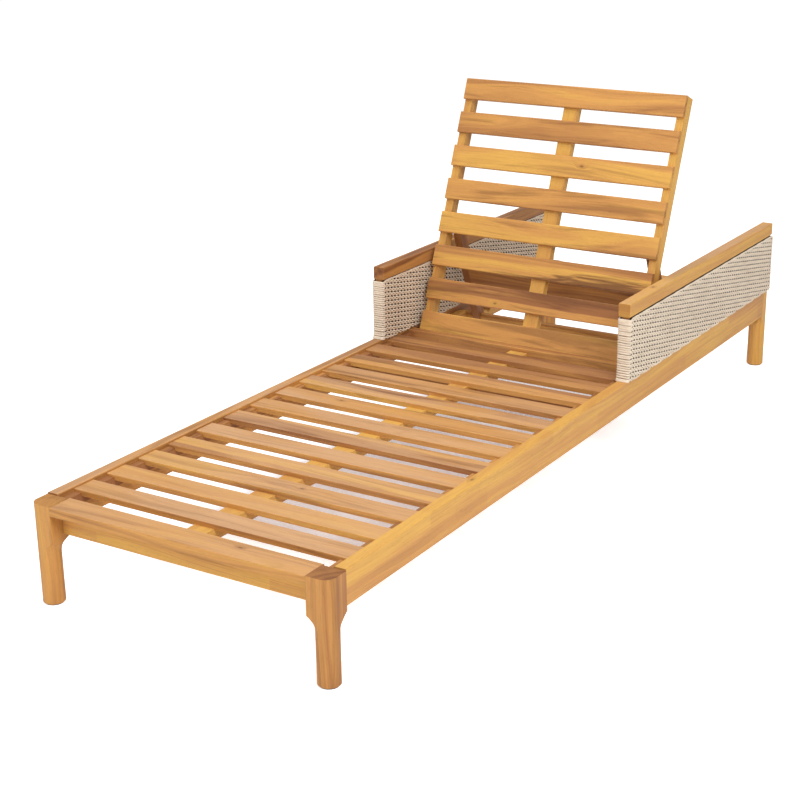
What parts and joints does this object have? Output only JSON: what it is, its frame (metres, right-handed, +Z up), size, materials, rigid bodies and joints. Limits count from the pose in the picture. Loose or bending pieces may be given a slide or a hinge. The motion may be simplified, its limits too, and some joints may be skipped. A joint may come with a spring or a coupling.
{
  "type": "reclining sun lounger",
  "caption": "Slatted timber garden lounger on four legs, with a reclining slatted back held by a folding prop, and two woven arm panels with timber tops.",
  "frame": {"origin": "on the floor under the middle of the frame", "axes": "+Y from the foot end to the head end, +X to the sitter's left, +Z up"},
  "size_m": [0.658, 2.004, 0.7637],
  "materials": {
    "timber": "oiled acacia, satin",
    "woven_strand": "flat synthetic cane, matt",
    "zinc_steel": "zinc plated",
    "glide_plastic": "moulded, matt"
  },
  "bodies": {
    "frame": {"arm_frame_left": "timber", "arm_frame_right": "timber", "arm_rail_left": "timber", "arm_rail_right": "timber", "arm_weave_left": "woven_strand", "arm_weave_right": "woven_strand", "back_rests": "timber", "centre_rail": "timber", "foot_apron": "timber", "foot_end_slat": "timber", "foot_glides": "glide_plastic", "head_apron": "timber", "head_end_slat": "timber", "hinge_block_left": "timber", "hinge_block_right": "timber", "hinge_cross_rail": "timber", "hinge_pins": "zinc_steel", "ledger_left": "timber", "ledger_right": "timber", "leg_foot_left": "timber", "leg_foot_right": "timber", "leg_head_left": "timber", "leg_head_right": "timber", "mid_cross_rail": "timber", "rack_left": "timber", "rack_right": "timber", "seat_screws": "zinc_steel", "seat_slat_02": "timber", "seat_slat_03": "timber", "seat_slat_04": "timber", "seat_slat_05": "timber", "seat_slat_06": "timber", "seat_slat_07": "timber", "seat_slat_08": "timber", "seat_slat_09": "timber", "seat_slat_10": "timber", "seat_slat_11": "timber", "seat_slat_12": "timber", "seat_slat_13": "timber", "seat_slat_14": "timber", "side_rail_left": "timber", "side_rail_right": "timber"},
    "backrest": {"back_screws": "zinc_steel", "back_slat_1": "timber", "back_slat_2": "timber", "back_slat_3": "timber", "back_slat_4": "timber", "back_slat_5": "timber", "back_slat_6": "timber", "back_slat_7": "timber", "back_slat_8": "timber", "back_stile_centre": "timber", "back_stile_left": "timber", "back_stile_right": "timber", "prop_pins": "zinc_steel"},
    "prop": {"prop_arm_left": "timber", "prop_arm_right": "timber", "prop_bar": "timber", "prop_brace": "timber"}
  },
  "joints": [
    {"name": "backrest_hinge", "type": "hinge", "parent": "frame", "child": "backrest", "pos_m": [0, 0.2797, 0.173], "axis": [1, 0, 0], "range_deg": [-68, 0]},
    {"name": "prop_hinge", "type": "hinge", "parent": "backrest", "child": "prop", "pos_m": [0, 0.38834, 0.44188], "axis": [1, 0, 0], "range_deg": [0, 131.4]}
  ],
  "couplings": [
    {"joint": "prop_hinge", "follows": "backrest_hinge", "ratio": -1.9316}
  ]
}
